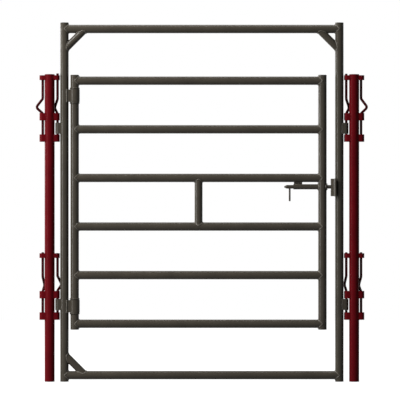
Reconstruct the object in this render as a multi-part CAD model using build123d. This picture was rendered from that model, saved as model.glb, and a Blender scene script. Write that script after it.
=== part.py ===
from build123d import *
import math
import os

# Walk-through gate hung in a tall welded frame, coupled by drop pins to a post on each side.
# Millimetres. X runs along the fence from the left post, Y from front to back, Z up from the ground.
# The origin is the centre of the left post's foot.

# Posts
post_diameter = 60.3
post_wall = 3.0
post_drop = 310.0
post_spacing = 1828.8
post_end_plate = 4.0
post_top_round = 2.5
drain_hole_diameter = 8.0
drain_hole_offset = 15.0

# Frame and gate tube
tube_diameter = 50.8
tube_wall = 2.1
cope_trim = 8.0

# Frame
frame_setback = 88.9
frame_height = 2155.0
frame_rail_inset = 12.7
brace_diameter = 44.5
brace_reach = 125.0

# Gate
hinge_side_gap = 10.8
latch_side_gap = 50.8
gate_foot = 312.0
gate_head_gap = 250.5
gate_rail_inset = 34.7
gate_rail_count = 6
mid_stay_diameter = 48.0
rails_above_stay_count = 3

# Hinges
sleeve_wall = 3.9
sleeve_clearance = 0.85
sleeve_length = 76.2
upper_hinge_drop = 124.5
lower_hinge_rise = 140.0
hinge_plate_thickness = 6.0
hinge_plate_height = 73.0
hinge_plate_front = 20.0
hinge_plate_lap = 12.0
stop_ring_height = 9.5
stop_ring_stand = 4.6
stop_ring_gap = 1.2

# Keepers, the bent straps welded to the posts
strap_thickness = 5.0
strap_bend_radius = 20.0
keeper_reach = 61.0
tall_keeper_height = 44.0
short_keeper_height = 28.0
upper_set_drop = 255.0
lower_set_height = 521.5
top_keeper_rise = 234.5
low_keeper_drop = 128.3

# Lugs, the bent straps welded to the frame
lug_height = 66.0
lug_post_gap = 3.85
upper_lug_drop = 69.5
lower_lug_drop = 58.5

# Drop pins
pin_diameter = 15.9
pin_clearance = 0.55
pin_seat_gap = 0.3
outer_pin_offset = 41.5
pin_tail = 130.0
pin_end_chamfer = 2.5
kink_reach = 40.0
kink_slope = 42.0
kink_upper_rise = 52.0
pin_bend_radius = 16.0

# Slide latch
bolt_diameter = 22.2
bolt_clearance = 0.8
bolt_stand_out = 25.2
bolt_length = 280.2
bolt_nose_length = 15.0
bolt_nose_diameter = 8.0
guide_diameter = 31.75
guide_length = 149.0
guide_stand_out = 3.0
guide_fit_gap = 0.15
hanger_gap = 11.9
hanger_width = 50.0
hanger_thickness = 10.0
hanger_inset = 3.0
handle_diameter = 11.1
handle_length = 86.5
handle_inset = 33.0
handle_seat_depth = 14.0
catch_diameter = 88.9
catch_wall = 5.5
catch_height = 105.0
catch_centre_drop = 3.9
catch_depth = 30.7
catch_end_plate = 5.0
catch_slot_width = 27.6
catch_slot_height = 40.0
catch_slot_corner = 3.0
catch_gap = 0.8

# Places worked out from the sizes above
frame_left_x = frame_setback
frame_right_x = post_spacing - frame_setback
frame_low_rail_z = frame_rail_inset + tube_diameter / 2
frame_high_rail_z = frame_height - frame_low_rail_z
post_height = frame_height - post_drop
gate_hinge_x = frame_left_x + tube_diameter + hinge_side_gap
gate_latch_x = frame_right_x - tube_diameter - latch_side_gap
gate_top = frame_high_rail_z - tube_diameter / 2 - gate_head_gap
gate_rail_spacing = (gate_top - gate_foot - 2 * gate_rail_inset) / (gate_rail_count - 1)
gate_rail_heights = [gate_top - gate_rail_inset - i * gate_rail_spacing for i in range(gate_rail_count)]
sleeve_bore = tube_diameter + 2 * sleeve_clearance
sleeve_diameter = sleeve_bore + 2 * sleeve_wall
hinge_heights = {"upper": gate_top - upper_hinge_drop, "lower": gate_foot + lower_hinge_rise}
inner_pin_offset = keeper_reach - strap_thickness - pin_diameter / 2 - pin_clearance
strap_bend_centre = keeper_reach - strap_bend_radius
strap_inner_radius = strap_bend_radius - strap_thickness
set_heights = {"upper": post_height - upper_set_drop, "lower": lower_set_height}
lug_heights = {"upper": set_heights["upper"] - upper_lug_drop, "lower": lower_set_height - lower_lug_drop}
stay_top = gate_rail_heights[rails_above_stay_count - 1]
stay_foot = gate_rail_heights[rails_above_stay_count]
bolt_height = stay_top - tube_diameter / 2 - hanger_gap - guide_diameter / 2
bolt_bore = bolt_diameter + 2 * bolt_clearance
bolt_tip_x = gate_latch_x + tube_diameter / 2 + bolt_stand_out


def rod(radius, start, end):
    """Solid round bar between two points."""
    line = Vector(*end) - Vector(*start)
    place = Plane(origin=start, z_dir=line)
    return extrude(place * Circle(radius), line.length)


def tube(diameter, wall, start, end):
    """Round tube with open ends between two points on its axis."""
    return rod(diameter / 2, start, end) - rod(diameter / 2 - wall, start, end)


def write(shape, node):
    """One file for each node. A shape of several loose solids stays one node."""
    shape.label = node
    export_step(shape, f"parts/{node}.step")


def make_post(x):
    """Post of pipe, closed top and foot, with a drain hole beside the foot's centre."""
    outside = extrude(Pos(x, 0, 0) * Circle(post_diameter / 2), post_height)
    top_edge = outside.edges().sort_by(Axis.Z)[-1]
    outside = fillet(top_edge, post_top_round)
    inside_length = post_height - 2 * post_end_plate
    inside = extrude(Pos(x, 0, post_end_plate) * Circle(post_diameter / 2 - post_wall), inside_length)
    drain = extrude(Pos(x, drain_hole_offset, 0) * Circle(drain_hole_diameter / 2), post_end_plate)
    return outside - inside - drain


def make_upright(x, foot, top):
    return tube(tube_diameter, tube_wall, (x, 0, foot), (x, 0, top))


def make_rail(left_x, right_x, z):
    """Level tube saddle-cut at both ends to the uprights that carry it."""
    rail = tube(tube_diameter, tube_wall, (left_x + cope_trim, 0, z), (right_x - cope_trim, 0, z))
    for x in (left_x, right_x):
        rail -= rod(tube_diameter / 2, (x, 0, z - tube_diameter), (x, 0, z + tube_diameter))
    return rail


def make_brace(corner_x, corner_z, along, upward):
    """Tube across a frame corner at 45 degrees, saddle-cut to the upright and the rail."""
    on_upright = (corner_x, 0, corner_z + upward * brace_reach)
    on_rail = (corner_x + along * brace_reach, 0, corner_z)
    brace = tube(brace_diameter, tube_wall, on_upright, on_rail)
    far = 2 * brace_reach
    brace -= rod(tube_diameter / 2, (corner_x, 0, corner_z - far), (corner_x, 0, corner_z + far))
    brace -= rod(tube_diameter / 2, (corner_x - far, 0, corner_z), (corner_x + far, 0, corner_z))
    return brace


def make_strap(tube_x, tube_radius, toward, reach, centre_z, height):
    """Flat bar bent into a U, its round end away from the tube and its two legs welded to it."""
    bend_x = tube_x + toward * (reach - strap_bend_radius)
    leg_length = reach - strap_bend_radius
    leg_x = tube_x + toward * leg_length / 2

    def outline(radius):
        legs = Pos(leg_x, 0) * Rectangle(leg_length, 2 * radius)
        return legs + Pos(bend_x, 0) * Circle(radius)

    section = outline(strap_bend_radius) - outline(strap_inner_radius)
    section -= Pos(tube_x, 0) * Circle(tube_radius)
    return Pos(0, 0, centre_z - height / 2) * extrude(section, height)


def make_keepers(post_x, set_height):
    """Three keepers on each side of a post, the top one short and the lower two tall."""
    heights = [
        (set_height + top_keeper_rise, short_keeper_height),
        (set_height, tall_keeper_height),
        (set_height - low_keeper_drop, tall_keeper_height),
    ]
    straps = []
    for side in (-1, 1):
        for centre_z, height in heights:
            straps += make_strap(post_x, post_diameter / 2, side, keeper_reach, centre_z, height).solids()
    return Compound(children=straps)


def make_lug(post_x, toward_frame, centre_z):
    """Strap on the frame upright that reaches between the middle and low keepers."""
    frame_x = post_x + toward_frame * frame_setback
    reach = frame_setback - post_diameter / 2 - lug_post_gap
    return make_strap(frame_x, tube_diameter / 2, -toward_frame, reach, centre_z, lug_height)


def kink_foot_height(pin_offset, outward, direction):
    """Height of the kink's lower corner over the middle keeper's centre, with its slope on the strap."""
    radius = pin_diameter / 2
    slope = math.radians(kink_slope)
    best = 0.0
    for step in range(-90, 91, 2):
        angle = math.radians(step)
        edge_x = outward * (strap_bend_centre - pin_offset + strap_inner_radius * math.cos(angle))
        edge_y = strap_inner_radius * math.sin(angle)
        best = max(best, seat_over(edge_x, edge_y, direction, radius, slope))
    for step in range(0, 20):
        edge_x = outward * (strap_bend_centre - pin_offset - step)
        for edge_y in (-strap_inner_radius, strap_inner_radius):
            best = max(best, seat_over(edge_x, edge_y, direction, radius, slope))
    return best


def seat_over(edge_x, edge_y, direction, radius, slope):
    """Lowest corner height that keeps the sloping run above one point of the strap's inner edge."""
    turn = math.radians(direction)
    along = edge_x * math.cos(turn) + edge_y * math.sin(turn)
    across = -edge_x * math.sin(turn) + edge_y * math.cos(turn)
    if along <= 0 or abs(across) >= radius:
        return 0.0
    depth = math.sqrt(radius**2 - across**2) / math.cos(slope)
    return tall_keeper_height / 2 + pin_seat_gap + depth - along * math.tan(slope)


def make_pin(post_x, outward, pin_offset, set_height, direction, top_stand):
    """Round bar dropped through the keepers, with a kink that rests on the middle one."""
    turn = math.radians(direction)
    pin_x = post_x + outward * pin_offset
    foot = set_height + kink_foot_height(pin_offset, outward, direction)
    apex = foot + kink_reach * math.tan(math.radians(kink_slope))
    shoulder = apex + kink_upper_rise
    top = set_height + top_keeper_rise + short_keeper_height / 2 + top_stand
    tail = set_height - pin_tail
    apex_point = (pin_x + kink_reach * math.cos(turn), kink_reach * math.sin(turn), apex)
    route = [(pin_x, 0, tail), (pin_x, 0, foot), apex_point, (pin_x, 0, shoulder), (pin_x, 0, top)]
    path = FilletPolyline(*route, radius=pin_bend_radius)
    start = Plane(origin=route[0], z_dir=(0, 0, 1))
    bar = sweep(start * Circle(pin_diameter / 2), path=path)
    rims = bar.edges().sort_by(Axis.Z)
    return chamfer([rims[0], rims[-1]], pin_end_chamfer)


def make_hinge(z):
    """Sleeve round the gate's upright, held to the frame by a plate in front and one behind."""
    low = z - sleeve_length / 2
    high = z + sleeve_length / 2
    bore = rod(sleeve_bore / 2, (gate_hinge_x, 0, low), (gate_hinge_x, 0, high))
    sleeve = rod(sleeve_diameter / 2, (gate_hinge_x, 0, low), (gate_hinge_x, 0, high))
    plate_start = frame_left_x + hinge_plate_lap
    plate_length = gate_hinge_x - plate_start
    plate_y = hinge_plate_front - hinge_plate_thickness / 2
    for side in (-1, 1):
        centre = Pos(plate_start + plate_length / 2, side * plate_y, z)
        sleeve += centre * Box(plate_length, hinge_plate_thickness, hinge_plate_height)
    sleeve -= rod(tube_diameter / 2, (frame_left_x, 0, low), (frame_left_x, 0, high))
    return sleeve - bore


def make_stop_ring(z):
    """Half-round collar welded on the gate's upright, just clear of a sleeve's end."""
    ring_radius = tube_diameter / 2
    profile = Plane.XZ * Pos(ring_radius, 0) * Ellipse(stop_ring_stand, stop_ring_height / 2)
    profile -= Plane.XZ * Pos(ring_radius / 2, 0) * Rectangle(ring_radius, 2 * stop_ring_height)
    return Pos(gate_hinge_x, 0, z) * revolve(profile, axis=Axis.Z)


def make_stop_rings():
    step = sleeve_length / 2 + stop_ring_gap + stop_ring_height / 2
    rings = []
    for z in hinge_heights.values():
        for side in (-1, 1):
            rings += make_stop_ring(z + side * step).solids()
    return Compound(children=rings)


def make_latch_upright():
    """Gate upright drilled right through for the bolt's guide."""
    upright = make_upright(gate_latch_x, gate_foot, gate_top)
    near = (gate_latch_x - tube_diameter, 0, bolt_height)
    far = (gate_latch_x + tube_diameter, 0, bolt_height)
    return upright - rod(guide_diameter / 2 + guide_fit_gap, near, far)


def make_latch_guide():
    """Tube that guides the bolt, run through the upright and hung from a rail by a short plate."""
    start_x = gate_latch_x - tube_diameter / 2 - guide_length
    end_x = gate_latch_x + tube_diameter / 2 + guide_stand_out
    guide = rod(guide_diameter / 2, (start_x, 0, bolt_height), (end_x, 0, bolt_height))
    hanger_height = stay_top - bolt_height
    hanger_x = start_x + hanger_inset + hanger_width / 2
    guide += Pos(hanger_x, 0, bolt_height + hanger_height / 2) * Box(hanger_width, hanger_thickness, hanger_height)
    guide -= rod(tube_diameter / 2, (start_x, 0, stay_top), (gate_latch_x, 0, stay_top))
    return guide - rod(bolt_bore / 2, (start_x, 0, bolt_height), (end_x, 0, bolt_height))


def make_handle(handle_x):
    """Straight grip set into the underside of the bolt, with a rounded end."""
    top = bolt_height - bolt_diameter / 2 + handle_seat_depth
    handle = rod(handle_diameter / 2, (handle_x, 0, bolt_height - handle_length), (handle_x, 0, top))
    return fillet(handle.edges().sort_by(Axis.Z)[0], handle_diameter / 4)


def make_bolt(handle_x):
    """Round bolt with a blunt nose at its handle end."""
    nose_x = bolt_tip_x - bolt_length
    bolt = rod(bolt_diameter / 2, (nose_x, 0, bolt_height), (bolt_tip_x, 0, bolt_height))
    nose_edge = bolt.edges().sort_by(Axis.X)[0]
    bolt = chamfer(nose_edge, bolt_nose_length, (bolt_diameter - bolt_nose_diameter) / 2)
    seat_top = bolt_height - bolt_diameter / 2 + handle_seat_depth
    return bolt - rod(handle_diameter / 2, (handle_x, 0, bolt_height - bolt_diameter), (handle_x, 0, seat_top))


def make_catch():
    """Bowed plate on the frame upright with a slot for the bolt, closed above and below."""
    outer_radius = catch_diameter / 2
    slot_edge_depth = outer_radius - math.sqrt(outer_radius**2 - (catch_slot_width / 2) ** 2)
    outer_x = bolt_tip_x + catch_gap - slot_edge_depth
    centre_x = outer_x + outer_radius
    centre_z = bolt_height - catch_centre_drop
    low = centre_z - catch_height / 2
    kept = Pos(outer_x + catch_depth / 2, 0) * Rectangle(catch_depth, catch_diameter)
    outer = Pos(centre_x, 0) * Circle(outer_radius)
    inner = Pos(centre_x, 0) * Circle(outer_radius - catch_wall)
    upright = Pos(frame_right_x, 0) * Circle(tube_diameter / 2)
    wall = (outer & kept) - inner - upright
    end = (outer & kept) - upright
    catch = Pos(0, 0, low) * extrude(wall, catch_height)
    for z in (low, low + catch_height - catch_end_plate):
        catch += Pos(0, 0, z) * extrude(end, catch_end_plate)
    slot = RectangleRounded(catch_slot_width, catch_slot_height, catch_slot_corner)
    return catch - extrude(Plane(origin=(outer_x, 0, bolt_height), x_dir=(0, 1, 0), z_dir=(1, 0, 0)) * slot, catch_depth)


os.makedirs("parts", exist_ok=True)

# Posts and their keepers
posts = {"left": (0.0, 1), "right": (post_spacing, -1)}
for side, (post_x, toward_frame) in posts.items():
    write(make_post(post_x), f"{side}_post")
    for level, set_height in set_heights.items():
        write(make_keepers(post_x, set_height), f"{side}_{level}_keepers")
        write(make_lug(post_x, toward_frame, lug_heights[level]), f"{side}_{level}_lug")

# Drop pins: each kink points its own way, in degrees from +X towards the back,
# and each top stands its own height above the top keeper
pin_settings = {
    ("left", "upper", "outer"): (180, -2.0),
    ("left", "upper", "inner"): (120, 12.0),
    ("left", "lower", "outer"): (77, 6.5),
    ("left", "lower", "inner"): (54, 1.5),
    ("right", "upper", "outer"): (340, -2.0),
    ("right", "upper", "inner"): (60, 10.0),
    ("right", "lower", "outer"): (107, 6.5),
    ("right", "lower", "inner"): (103, 6.5),
}
for (side, level, place), (direction, top_stand) in pin_settings.items():
    post_x, toward_frame = posts[side]
    outward = toward_frame if place == "inner" else -toward_frame
    offset = inner_pin_offset if place == "inner" else outer_pin_offset
    pin = make_pin(post_x, outward, offset, set_heights[level], direction, top_stand)
    write(pin, f"{side}_{level}_{place}_pin")

# Frame
write(make_upright(frame_left_x, 0, frame_height), "frame_left_upright")
write(make_upright(frame_right_x, 0, frame_height), "frame_right_upright")
write(make_rail(frame_left_x, frame_right_x, frame_high_rail_z), "frame_top_rail")
write(make_rail(frame_left_x, frame_right_x, frame_low_rail_z), "frame_bottom_rail")
write(make_brace(frame_left_x, frame_high_rail_z, 1, -1), "brace_top_left")
write(make_brace(frame_right_x, frame_high_rail_z, -1, -1), "brace_top_right")
write(make_brace(frame_left_x, frame_low_rail_z, 1, 1), "brace_bottom_left")

# Hinges
for level, z in hinge_heights.items():
    write(make_hinge(z), f"{level}_hinge")
write(make_stop_rings(), "hinge_stop_rings")

# Gate
write(make_upright(gate_hinge_x, gate_foot, gate_top), "gate_hinge_upright")
write(make_latch_upright(), "gate_latch_upright")
for number, z in enumerate(gate_rail_heights, start=1):
    write(make_rail(gate_hinge_x, gate_latch_x, z), f"gate_rail_{number}")
stay_x = (gate_hinge_x + gate_latch_x) / 2
stay = tube(mid_stay_diameter, tube_wall, (stay_x, 0, stay_foot), (stay_x, 0, stay_top))
for z in (stay_foot, stay_top):
    stay -= rod(tube_diameter / 2, (stay_x - tube_diameter, 0, z), (stay_x + tube_diameter, 0, z))
write(stay, "gate_mid_stay")

# Slide latch
handle_x = bolt_tip_x - bolt_length + handle_inset
write(make_latch_guide(), "latch_guide")
write(make_bolt(handle_x), "latch_bolt")
write(make_handle(handle_x), "latch_handle")
write(make_catch(), "latch_catch")
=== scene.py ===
# Walk-through gate hung in a tall tube frame, pinned to a post on each side.
# Every piece is in metres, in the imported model's own frame, with the ground at height 0.
import math

import bmesh
import bpy
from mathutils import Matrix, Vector


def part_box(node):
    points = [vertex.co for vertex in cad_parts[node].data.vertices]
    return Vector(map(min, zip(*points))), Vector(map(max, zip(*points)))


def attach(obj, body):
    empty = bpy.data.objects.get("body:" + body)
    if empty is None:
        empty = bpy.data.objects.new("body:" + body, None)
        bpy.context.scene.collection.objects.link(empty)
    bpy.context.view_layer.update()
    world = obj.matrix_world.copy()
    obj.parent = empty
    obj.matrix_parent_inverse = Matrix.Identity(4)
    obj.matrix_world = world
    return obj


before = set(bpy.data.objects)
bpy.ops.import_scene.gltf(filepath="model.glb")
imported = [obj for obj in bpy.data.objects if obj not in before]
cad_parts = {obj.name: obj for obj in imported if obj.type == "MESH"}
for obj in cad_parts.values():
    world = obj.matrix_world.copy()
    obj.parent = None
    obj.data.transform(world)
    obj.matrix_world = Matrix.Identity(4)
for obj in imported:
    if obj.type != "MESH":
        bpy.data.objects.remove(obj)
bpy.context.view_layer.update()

scene = bpy.context.scene

# The studio. The gate stands on a white floor before a white backdrop, seen square on from far off.
# The main lamp is in front, high on the left. Narrow ones on the left draw the shine along the tubes.
PHOTO_PIXELS = 400
METRES_PER_PIXEL = 0.006006
VIEW_CENTRE = Vector((0.903, 0.0, 1.090))
CAMERA_DISTANCE = 14.0
SENSOR_WIDTH = 36.0

camera_data = bpy.data.cameras.new("camera")
camera_data.sensor_width = SENSOR_WIDTH
camera_data.lens = SENSOR_WIDTH * CAMERA_DISTANCE / (PHOTO_PIXELS * METRES_PER_PIXEL)
camera_data.clip_end = 100.0
camera = bpy.data.objects.new("camera", camera_data)
camera.location = VIEW_CENTRE + Vector((0.0, -CAMERA_DISTANCE, 0.0))
camera.rotation_euler = (math.radians(90), 0.0, 0.0)
scene.collection.objects.link(camera)
scene.camera = camera
scene.view_settings.view_transform = "Standard"


def add_area_light(name, direction, distance, size, power):
    """Lamp of a given width and height, set off from the gate's middle and turned to face it."""
    lamp = bpy.data.lights.new(name, "AREA")
    lamp.shape = "RECTANGLE"
    lamp.size, lamp.size_y = size
    lamp.energy = power
    holder = bpy.data.objects.new(name, lamp)
    toward = Vector(direction).normalized()
    holder.location = VIEW_CENTRE + toward * distance
    holder.rotation_euler = toward.to_track_quat("Z", "Y").to_euler()
    scene.collection.objects.link(holder)


add_area_light("key_light", (-0.60, -0.46, 0.66), 8.0, (2.6, 2.6), 860.0)
add_area_light("edge_light", (-0.86, -0.50, 0.04), 7.0, (0.5, 2.0), 230.0)
add_area_light("rim_light", (-0.90, 0.38, 0.30), 7.0, (1.0, 4.0), 480.0)
add_area_light("top_light", (0.0, 0.05, 1.0), 6.0, (4.0, 2.0), 280.0)

world = bpy.data.worlds.new("white_studio")
scene.world = world
world.use_nodes = True
world_nodes = world.node_tree.nodes
world_links = world.node_tree.links
world_nodes.clear()
AMBIENT_STRENGTH = 0.05


def seen_ray(nodes, links):
    """1 for the rays that show a background: camera, glossy and transmission rays."""
    path = nodes.new("ShaderNodeLightPath")
    first = nodes.new("ShaderNodeMath")
    first.operation = "MAXIMUM"
    links.new(path.outputs["Is Camera Ray"], first.inputs[0])
    links.new(path.outputs["Is Glossy Ray"], first.inputs[1])
    second = nodes.new("ShaderNodeMath")
    second.operation = "MAXIMUM"
    links.new(first.outputs[0], second.inputs[0])
    links.new(path.outputs["Is Transmission Ray"], second.inputs[1])
    return second.outputs[0]


ambient = world_nodes.new("ShaderNodeBackground")
ambient.inputs["Color"].default_value = (1.0, 1.0, 1.0, 1.0)
ambient.inputs["Strength"].default_value = AMBIENT_STRENGTH
backdrop = world_nodes.new("ShaderNodeBackground")
backdrop.inputs["Color"].default_value = (1.0, 1.0, 1.0, 1.0)
backdrop.inputs["Strength"].default_value = 1.0
world_mix = world_nodes.new("ShaderNodeMixShader")
world_out = world_nodes.new("ShaderNodeOutputWorld")
world_links.new(seen_ray(world_nodes, world_links), world_mix.inputs["Fac"])
world_links.new(ambient.outputs[0], world_mix.inputs[1])
world_links.new(backdrop.outputs[0], world_mix.inputs[2])
world_links.new(world_mix.outputs[0], world_out.inputs["Surface"])

FLOOR_REACH = 7.0
FLOOR_DROP = 0.0005
FLOOR_GREY = 0.16
FLOOR_LIFT = 0.96
floor_mesh = bpy.data.meshes.new("floor")
floor_bm = bmesh.new()
bmesh.ops.create_grid(floor_bm, x_segments=2, y_segments=2, size=FLOOR_REACH)
bmesh.ops.translate(floor_bm, verts=floor_bm.verts, vec=(VIEW_CENTRE.x, 0.0, -FLOOR_DROP))
floor_bm.to_mesh(floor_mesh)
floor_bm.free()
floor = bpy.data.objects.new("floor", floor_mesh)
scene.collection.objects.link(floor)
floor_paint = bpy.data.materials.new("white_floor")
floor_paint.use_nodes = True
floor_nodes = floor_paint.node_tree.nodes
floor_links = floor_paint.node_tree.links
floor_nodes.clear()
floor_matt = floor_nodes.new("ShaderNodeBsdfDiffuse")
floor_matt.inputs["Color"].default_value = (FLOOR_GREY, FLOOR_GREY, FLOOR_GREY, 1.0)
floor_glow = floor_nodes.new("ShaderNodeEmission")
floor_lift = floor_nodes.new("ShaderNodeMath")
floor_lift.operation = "MULTIPLY"
floor_lift.inputs[1].default_value = FLOOR_LIFT
floor_links.new(seen_ray(floor_nodes, floor_links), floor_lift.inputs[0])
floor_links.new(floor_lift.outputs[0], floor_glow.inputs["Strength"])
floor_add = floor_nodes.new("ShaderNodeAddShader")
floor_out = floor_nodes.new("ShaderNodeOutputMaterial")
floor_links.new(floor_matt.outputs[0], floor_add.inputs[0])
floor_links.new(floor_glow.outputs[0], floor_add.inputs[1])
floor_links.new(floor_add.outputs[0], floor_out.inputs["Surface"])
floor_mesh.materials.append(floor_paint)

# The frame's tube: uprights, rails and corner braces of 2 in round steel tube.
# It is sprayed a dark bronze-grey enamel after welding, half glossy, with a faint orange peel.
BRONZE = (0.043, 0.037, 0.028)
DUST = (0.24, 0.21, 0.18)


def new_paint_group():
    """Sprayed enamel: drift in tone, uneven gloss, settled dust and an orange-peel skin."""
    group = bpy.data.node_groups.new("sprayed_enamel", "ShaderNodeTree")
    socket = group.interface.new_socket
    socket("Colour", in_out="INPUT", socket_type="NodeSocketColor")
    socket("Smooth", in_out="INPUT", socket_type="NodeSocketFloat").default_value = 0.3
    socket("Rough", in_out="INPUT", socket_type="NodeSocketFloat").default_value = 0.4
    socket("Peel", in_out="INPUT", socket_type="NodeSocketFloat").default_value = 0.2
    socket("Dust", in_out="INPUT", socket_type="NodeSocketFloat").default_value = 0.2
    socket("Colour", in_out="OUTPUT", socket_type="NodeSocketColor")
    socket("Roughness", in_out="OUTPUT", socket_type="NodeSocketFloat")
    socket("Normal", in_out="OUTPUT", socket_type="NodeSocketVector")
    nodes, links = group.nodes, group.links
    given = nodes.new("NodeGroupInput")
    result = nodes.new("NodeGroupOutput")
    place = nodes.new("ShaderNodeTexCoord")

    drift = nodes.new("ShaderNodeTexNoise")
    drift.inputs["Scale"].default_value = 9.0
    drift.inputs["Detail"].default_value = 4.0
    links.new(place.outputs["Object"], drift.inputs["Vector"])
    tone = nodes.new("ShaderNodeMapRange")
    tone.inputs["From Min"].default_value = 0.3
    tone.inputs["From Max"].default_value = 0.7
    tone.inputs["To Min"].default_value = 0.88
    tone.inputs["To Max"].default_value = 1.12
    links.new(drift.outputs["Fac"], tone.inputs["Value"])
    toned = nodes.new("ShaderNodeVectorMath")
    toned.operation = "SCALE"
    links.new(given.outputs["Colour"], toned.inputs[0])
    links.new(tone.outputs["Result"], toned.inputs["Scale"])

    speck = nodes.new("ShaderNodeTexNoise")
    speck.inputs["Scale"].default_value = 240.0
    speck.inputs["Detail"].default_value = 3.0
    links.new(place.outputs["Object"], speck.inputs["Vector"])
    dusty = nodes.new("ShaderNodeMapRange")
    dusty.inputs["From Min"].default_value = 0.52
    dusty.inputs["From Max"].default_value = 0.72
    dusty.inputs["To Max"].default_value = 1.0
    links.new(speck.outputs["Fac"], dusty.inputs["Value"])
    dust_share = nodes.new("ShaderNodeMath")
    dust_share.operation = "MULTIPLY"
    links.new(dusty.outputs["Result"], dust_share.inputs[0])
    links.new(given.outputs["Dust"], dust_share.inputs[1])
    dusted = nodes.new("ShaderNodeMix")
    dusted.data_type = "RGBA"
    dusted.inputs["B"].default_value = (*DUST, 1.0)
    links.new(dust_share.outputs[0], dusted.inputs["Factor"])
    links.new(toned.outputs[0], dusted.inputs["A"])
    links.new(dusted.outputs["Result"], result.inputs["Colour"])

    patch = nodes.new("ShaderNodeTexNoise")
    patch.inputs["Scale"].default_value = 34.0
    patch.inputs["Detail"].default_value = 5.0
    links.new(place.outputs["Object"], patch.inputs["Vector"])
    gloss = nodes.new("ShaderNodeMapRange")
    gloss.inputs["From Min"].default_value = 0.3
    gloss.inputs["From Max"].default_value = 0.7
    links.new(patch.outputs["Fac"], gloss.inputs["Value"])
    links.new(given.outputs["Smooth"], gloss.inputs["To Min"])
    links.new(given.outputs["Rough"], gloss.inputs["To Max"])
    links.new(gloss.outputs["Result"], result.inputs["Roughness"])

    skin = nodes.new("ShaderNodeTexNoise")
    skin.inputs["Scale"].default_value = 420.0
    skin.inputs["Detail"].default_value = 2.0
    links.new(place.outputs["Object"], skin.inputs["Vector"])
    bump = nodes.new("ShaderNodeBump")
    bump.inputs["Distance"].default_value = 0.0004
    links.new(given.outputs["Peel"], bump.inputs["Strength"])
    links.new(skin.outputs["Fac"], bump.inputs["Height"])
    links.new(bump.outputs["Normal"], result.inputs["Normal"])
    return group


sprayed_enamel = new_paint_group()


def new_paint(name, colour, sheen, gloss, peel, dust):
    """Enamel of one colour, its finish broken up by the shared spray effect."""
    paint = bpy.data.materials.new(name)
    paint.use_nodes = True
    nodes, links = paint.node_tree.nodes, paint.node_tree.links
    shader = nodes["Principled BSDF"]
    shader.inputs["Specular IOR Level"].default_value = sheen
    spray = nodes.new("ShaderNodeGroup")
    spray.node_tree = sprayed_enamel
    spray.inputs["Colour"].default_value = (*colour, 1.0)
    spray.inputs["Smooth"].default_value = gloss[0]
    spray.inputs["Rough"].default_value = gloss[1]
    spray.inputs["Peel"].default_value = peel
    spray.inputs["Dust"].default_value = dust
    links.new(spray.outputs["Colour"], shader.inputs["Base Color"])
    links.new(spray.outputs["Roughness"], shader.inputs["Roughness"])
    links.new(spray.outputs["Normal"], shader.inputs["Normal"])
    return paint


def paint_nodes(paint, names):
    """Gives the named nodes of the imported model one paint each."""
    for name in names:
        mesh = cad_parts[name].data
        mesh.materials.clear()
        mesh.materials.append(paint)


bronze_enamel = new_paint("bronze_enamel", BRONZE, sheen=0.10, gloss=(0.18, 0.28), peel=0.15, dust=0.04)
frame_tubes = [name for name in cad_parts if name.startswith(("frame_", "brace_"))]
paint_nodes(bronze_enamel, frame_tubes)

# The welds that join the frame's tubes: one rippled bead round each saddle-cut end.
# They are laid by hand torch, so the ripples are uneven, and painted over with the tube's enamel.
# Their bronze is lighter than the tube's, as a painted highlight on the beads.
TUBE_RADIUS = 0.0254
BRACE_RADIUS = 0.02225
BEAD_RADIUS = 0.0036
RIPPLE_PITCH = 0.0036
RIPPLE_STEPS = 5
RIPPLE_ROOT = 0.86
RIPPLE_DEPTH = 0.20
RIPPLE_LAG = 0.4
BEAD_SIDES = 10
BEAD_FLATNESS = 0.8
SADDLE_LIFT = 0.03
# Lighter than the tube's bronze: a painted highlight on every weld bead.
WELD_HIGHLIGHT_BRONZE = (0.085, 0.075, 0.060)
ALONG = Vector((1.0, 0.0, 0.0))
BACK = Vector((0.0, 1.0, 0.0))
UP = Vector((0.0, 0.0, 1.0))


def lay_bead(bm, seam, length, radius, closed=False):
    """Wraps a flat grid round a seam as a bead of weld, with one crescent ripple for each puddle.

    The seam gives a point and the direction out of the corner for each share of its length.
    """
    columns = max(4, round(length / RIPPLE_PITCH)) * RIPPLE_STEPS
    step = 1.0 / columns
    stations = {}
    verts = bmesh.ops.create_grid(bm, x_segments=columns, y_segments=BEAD_SIDES, size=1.0)["verts"]
    for vert in verts:
        share = (vert.co.x + 1) / 2
        column = round(share / step)
        if column not in stations:
            point, outward = seam(share)
            ahead = seam(min(share + step / 2, 1.0))[0]
            behind = seam(max(share - step / 2, 0.0))[0]
            side = (ahead - behind).cross(outward).normalized()
            stations[column] = point, side, outward
        point, side, outward = stations[column]
        turn = math.pi * (vert.co.y + 1)
        phase = (share * columns / RIPPLE_STEPS + RIPPLE_LAG * math.sin(turn)) % 1.0
        wander = 0.05 * math.sin(share * 44) + 0.04 * math.sin(share * 75)
        swell = radius * (RIPPLE_ROOT + RIPPLE_DEPTH * phase**1.5 + (0.0 if closed else wander))
        if not closed:
            ends = min(share, 1 - share) * columns / RIPPLE_STEPS
            swell *= math.sqrt(min(1.0, ends))
        vert.co = point + side * swell * math.cos(turn) + outward * swell * BEAD_FLATNESS * math.sin(turn)
    bmesh.ops.remove_doubles(bm, verts=verts, dist=1e-6)


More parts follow.
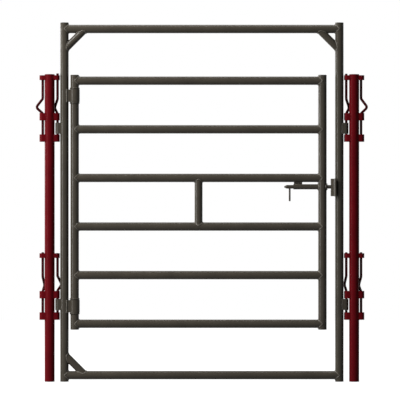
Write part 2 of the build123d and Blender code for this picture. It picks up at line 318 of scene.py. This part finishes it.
def saddle_seam(joint, branch_axis, branch_radius, run_axis, run_radius):
    """The seam where one tube's end is saddle-cut to the side of another."""
    branch_axis = branch_axis.normalized()
    across = branch_axis.cross(run_axis).normalized()
    rise = across.cross(branch_axis)
    step_flat = branch_axis - run_axis * branch_axis.dot(run_axis)

    def seam(share):
        turn = 2 * math.pi * share
        skin = rise * math.cos(turn) + across * math.sin(turn)
        start = skin * branch_radius
        start_flat = start - run_axis * start.dot(run_axis)
        a = step_flat.length_squared
        b = 2 * start_flat.dot(step_flat)
        c = start_flat.length_squared - run_radius**2
        spot = start + branch_axis * (math.sqrt(max(b * b - 4 * a * c, 0.0)) - b) / (2 * a)
        run_skin = (spot - run_axis * spot.dot(run_axis)).normalized()
        outward = (skin + run_skin).normalized()
        return joint + spot + outward * branch_radius * SADDLE_LIFT, outward

    return seam


def line_seam(start, end, outward):
    """A straight seam, such as the edge where a bar lies against a tube."""
    outward = Vector(outward).normalized()
    return lambda share: (start.lerp(end, share), outward)


def finish_piece(name, bm, paint, body):
    """Turns a bmesh into a smooth painted piece that rides on a body."""
    bmesh.ops.recalc_face_normals(bm, faces=bm.faces)
    for face in bm.faces:
        face.smooth = True
    mesh = bpy.data.meshes.new(name)
    bm.to_mesh(mesh)
    bm.free()
    mesh.materials.append(paint)
    piece = bpy.data.objects.new(name, mesh)
    scene.collection.objects.link(piece)
    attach(piece, body)
    return piece


def node_middle(name):
    """The middle of a node's box."""
    low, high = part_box(name)
    return (low + high) / 2


left_x = node_middle("frame_left_upright").x
right_x = node_middle("frame_right_upright").x
top_z = node_middle("frame_top_rail").z
low_z = node_middle("frame_bottom_rail").z
# The welds' enamel: its lighter bronze is a painted highlight on the beads.
weld_highlight_enamel = new_paint("weld_highlight_enamel", WELD_HIGHLIGHT_BRONZE, sheen=0.24, gloss=(0.18, 0.28), peel=0.4, dust=0.12)
TUBE_SEAM = 0.19
frame_welds = bmesh.new()
for z in (low_z, top_z):
    for x, way in ((left_x, 1), (right_x, -1)):
        seam = saddle_seam(Vector((x, 0.0, z)), ALONG * way, TUBE_RADIUS, UP, TUBE_RADIUS)
        lay_bead(frame_welds, seam, TUBE_SEAM, BEAD_RADIUS, closed=True)
BRACE_REACH = 0.125
for x, z, way, rise in ((left_x, top_z, 1, -1), (right_x, top_z, -1, -1), (left_x, low_z, 1, 1)):
    on_upright = Vector((x, 0.0, z + rise * BRACE_REACH))
    on_rail = Vector((x + way * BRACE_REACH, 0.0, z))
    slope = (on_rail - on_upright).normalized()
    seam = saddle_seam(on_upright, slope, BRACE_RADIUS, UP, TUBE_RADIUS)
    lay_bead(frame_welds, seam, TUBE_SEAM, BEAD_RADIUS, closed=True)
    seam = saddle_seam(on_rail, -slope, BRACE_RADIUS, ALONG, TUBE_RADIUS)
    lay_bead(frame_welds, seam, TUBE_SEAM, BEAD_RADIUS, closed=True)
finish_piece("frame_welds", frame_welds, weld_highlight_enamel, "frame_and_posts")

# The gate: two uprights, six rails and a mid stay of the same tube, in the same enamel.
# Each rail end is saddle-cut to an upright and welded all round.
gate_tubes = [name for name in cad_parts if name.startswith("gate_")]
paint_nodes(bronze_enamel, gate_tubes)
hinge_x = node_middle("gate_hinge_upright").x
latch_x = node_middle("gate_latch_upright").x
gate_rails = [name for name in gate_tubes if "_rail_" in name]
gate_welds = bmesh.new()
for name in gate_rails:
    z = node_middle(name).z
    for x, way in ((hinge_x, 1), (latch_x, -1)):
        seam = saddle_seam(Vector((x, 0.0, z)), ALONG * way, TUBE_RADIUS, UP, TUBE_RADIUS)
        lay_bead(gate_welds, seam, TUBE_SEAM, BEAD_RADIUS, closed=True)
STAY_RADIUS = 0.024
stay = node_middle("gate_mid_stay")
for name, way in (("gate_rail_3", -1), ("gate_rail_4", 1)):
    joint = Vector((stay.x, 0.0, node_middle(name).z))
    seam = saddle_seam(joint, UP * way, STAY_RADIUS, ALONG, TUBE_RADIUS)
    lay_bead(gate_welds, seam, TUBE_SEAM, BEAD_RADIUS, closed=True)
finish_piece("gate_welds", gate_welds, weld_highlight_enamel, "gate")

# The hinges: a sleeve on each end of the gate's upright, its two plates welded to the frame.
# Rolled stop rings on the upright keep the gate from lifting or dropping out of its sleeves.
paint_nodes(bronze_enamel, ["upper_hinge", "lower_hinge", "hinge_stop_rings"])
PLATE_FRONT = 0.020
PLATE_HALF_HEIGHT = 0.0365
PLATE_BEAD_RADIUS = 0.0052
PLATE_BEAD_SINK = 0.0012
PLATE_BEAD_STAND = 0.0005
BLOB_OUT = 0.003
BLOB_IN = 0.008
BLOB_SWELL = 1.18
plate_weld_x = left_x + math.sqrt(TUBE_RADIUS**2 - PLATE_FRONT**2) - PLATE_BEAD_SINK
hinge_welds = bmesh.new()
for name in ("upper_hinge", "lower_hinge"):
    z = node_middle(name).z
    for side in (-1, 1):
        low = Vector((plate_weld_x, side * (PLATE_FRONT + PLATE_BEAD_STAND), z - PLATE_HALF_HEIGHT))
        high = low + UP * 2 * PLATE_HALF_HEIGHT
        out = Vector((0.25, side * 1.0, 0.0))
        lay_bead(hinge_welds, line_seam(low, high, out), 2 * PLATE_HALF_HEIGHT, PLATE_BEAD_RADIUS)
        for end, way in ((low, 1), (high, -1)):
            blob = line_seam(end - UP * way * BLOB_OUT, end + UP * way * BLOB_IN, out)
            lay_bead(hinge_welds, blob, BLOB_OUT + BLOB_IN, PLATE_BEAD_RADIUS * BLOB_SWELL)
finish_piece("hinge_welds", hinge_welds, weld_highlight_enamel, "frame_and_posts")

# The lugs: flat bar bent round each frame-side pin, its legs welded to the frame upright.
# They carry the whole frame on the posts' keepers and wear the frame's enamel.
frame_lugs = [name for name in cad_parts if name.endswith("_lug")]
paint_nodes(bronze_enamel, frame_lugs)
STRAP_HALF_WIDTH = 0.020
STRAP_BEAD_RADIUS = 0.0028
STRAP_WELD_INSET = 0.001


def weld_strap(bm, tube_x, tube_radius, toward, low_z, high_z):
    """A bead down the outer face of each leg, in the corner with the tube."""
    corner_x = tube_x + toward * math.sqrt(tube_radius**2 - STRAP_HALF_WIDTH**2)
    for side in (-1, 1):
        low = Vector((corner_x, side * STRAP_HALF_WIDTH, low_z + STRAP_WELD_INSET))
        high = Vector((corner_x, side * STRAP_HALF_WIDTH, high_z - STRAP_WELD_INSET))
        lay_bead(bm, line_seam(low, high, (toward * 0.5, side * 1.0, 0.0)), high_z - low_z, STRAP_BEAD_RADIUS)


lug_welds = bmesh.new()
for name in frame_lugs:
    low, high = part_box(name)
    if name.startswith("left"):
        weld_strap(lug_welds, left_x, TUBE_RADIUS, -1, low.z, high.z)
    else:
        weld_strap(lug_welds, right_x, TUBE_RADIUS, 1, low.z, high.z)
finish_piece("lug_welds", lug_welds, weld_highlight_enamel, "frame_and_posts")

# The posts: 2-3/8 in pipe with bent strap keepers welded down both sides.
# They are enamelled a deep red of their own, with little shine.
RED = (0.086, 0.0028, 0.0050)
POST_RADIUS = 0.03015
red_enamel = new_paint("red_enamel", RED, sheen=0.02, gloss=(0.26, 0.38), peel=0.18, dust=0.004)
post_pieces = [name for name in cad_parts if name.endswith(("_post", "_keepers"))]
paint_nodes(red_enamel, post_pieces)
TALL_KEEPER = 0.044
SHORT_KEEPER = 0.028
MIDDLE_KEEPER_DROP = 0.2345
keeper_welds = bmesh.new()
for name in post_pieces:
    if not name.endswith("_keepers"):
        continue
    low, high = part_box(name)
    middle_z = high.z - SHORT_KEEPER / 2 - MIDDLE_KEEPER_DROP
    spans = [
        (low.z, low.z + TALL_KEEPER),
        (middle_z - TALL_KEEPER / 2, middle_z + TALL_KEEPER / 2),
        (high.z - SHORT_KEEPER, high.z),
    ]
    for toward in (-1, 1):
        for foot, top in spans:
            weld_strap(keeper_welds, (low.x + high.x) / 2, POST_RADIUS, toward, foot, top)
finish_piece("keeper_welds", keeper_welds, red_enamel, "frame_and_posts")

# The drop pins: round bar with one kink, which rests on the middle keeper and gives a grip.
# They are dipped a darker red, and the paint is thin on them.
PIN_RED = (0.030, 0.0014, 0.0026)
pin_enamel = new_paint("pin_enamel", PIN_RED, sheen=0.03, gloss=(0.32, 0.46), peel=0.25, dust=0.01)
drop_pins = [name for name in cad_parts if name.endswith("_pin")]
paint_nodes(pin_enamel, drop_pins)

# The slide latch: a round bolt in a guide tube under the third rail, with a hanging grip.
# The guide runs through the gate's upright and is welded on both sides of it.
paint_nodes(bronze_enamel, ["latch_guide", "latch_bolt", "latch_handle", "latch_catch"])
GUIDE_RADIUS = 0.015875
GUIDE_BEAD_RADIUS = 0.0055
GUIDE_SEAM = 0.105
HANGER_HALF_THICKNESS = 0.005
HANGER_INSET = 0.004
HANGER_LENGTH = 0.048
bolt_z = node_middle("latch_bolt").z
rail_z = node_middle("gate_rail_3").z
guide_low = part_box("latch_guide")[0]
latch_welds = bmesh.new()
for way in (-1, 1):
    seam = saddle_seam(Vector((latch_x, 0.0, bolt_z)), ALONG * way, GUIDE_RADIUS, UP, TUBE_RADIUS)
    lay_bead(latch_welds, seam, GUIDE_SEAM, GUIDE_BEAD_RADIUS, closed=True)
hanger_start = guide_low.x + HANGER_INSET
hanger_end = hanger_start + HANGER_LENGTH
for side in (-1, 1):
    y = side * HANGER_HALF_THICKNESS
    rail_seam_z = rail_z - math.sqrt(TUBE_RADIUS**2 - HANGER_HALF_THICKNESS**2)
    guide_seam_z = bolt_z + math.sqrt(GUIDE_RADIUS**2 - HANGER_HALF_THICKNESS**2)
    for z, down in ((rail_seam_z, -1.0), (guide_seam_z, 1.0)):
        seam = line_seam(Vector((hanger_start, y, z)), Vector((hanger_end, y, z)), (0.0, side, down))
        lay_bead(latch_welds, seam, HANGER_LENGTH, BEAD_RADIUS)
finish_piece("latch_welds", latch_welds, weld_highlight_enamel, "gate")

# The grip's weld: a small bead where the grip is set into the bolt's underside, which travels with it.
# It is laid on the side away from the guide only, so that the grip can close up to the guide's end.
GRIP_RADIUS = 0.00555
GRIP_BEAD_RADIUS = 0.0022
GRIP_SEAM = 0.024
SEAM_FROM = 0.2
SEAM_SPAN = 0.6
BOLT_RADIUS = 0.0111
grip_weld = bmesh.new()
grip = Vector((node_middle("latch_handle").x, 0.0, bolt_z))
seam = saddle_seam(grip, -UP, GRIP_RADIUS, ALONG, BOLT_RADIUS)
lay_bead(grip_weld, lambda share: seam(SEAM_FROM + SEAM_SPAN * share), GRIP_SEAM, GRIP_BEAD_RADIUS)
finish_piece("grip_weld", grip_weld, weld_highlight_enamel, "bolt")

# The catch: a bowed plate with a slot, its two end plates welded to the frame upright.
# Each bead runs round the upright, above the upper end plate and below the lower one.
CATCH_ARC = math.radians(32)
CATCH_SEAM = 0.029
catch_low, catch_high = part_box("latch_catch")
catch_welds = bmesh.new()


def arc_seam(z, up):
    """A seam round the catch's side of the frame upright, in the corner with an end plate."""

    def seam(share):
        turn = math.pi + CATCH_ARC * (2 * share - 1)
        skin = ALONG * math.cos(turn) + BACK * math.sin(turn)
        return Vector((right_x, 0.0, z)) + skin * TUBE_RADIUS, (skin + UP * up).normalized()

    return seam


lay_bead(catch_welds, arc_seam(catch_high.z, 1), CATCH_SEAM, BEAD_RADIUS)
lay_bead(catch_welds, arc_seam(catch_low.z, -1), CATCH_SEAM, BEAD_RADIUS)
finish_piece("catch_welds", catch_welds, weld_highlight_enamel, "frame_and_posts")
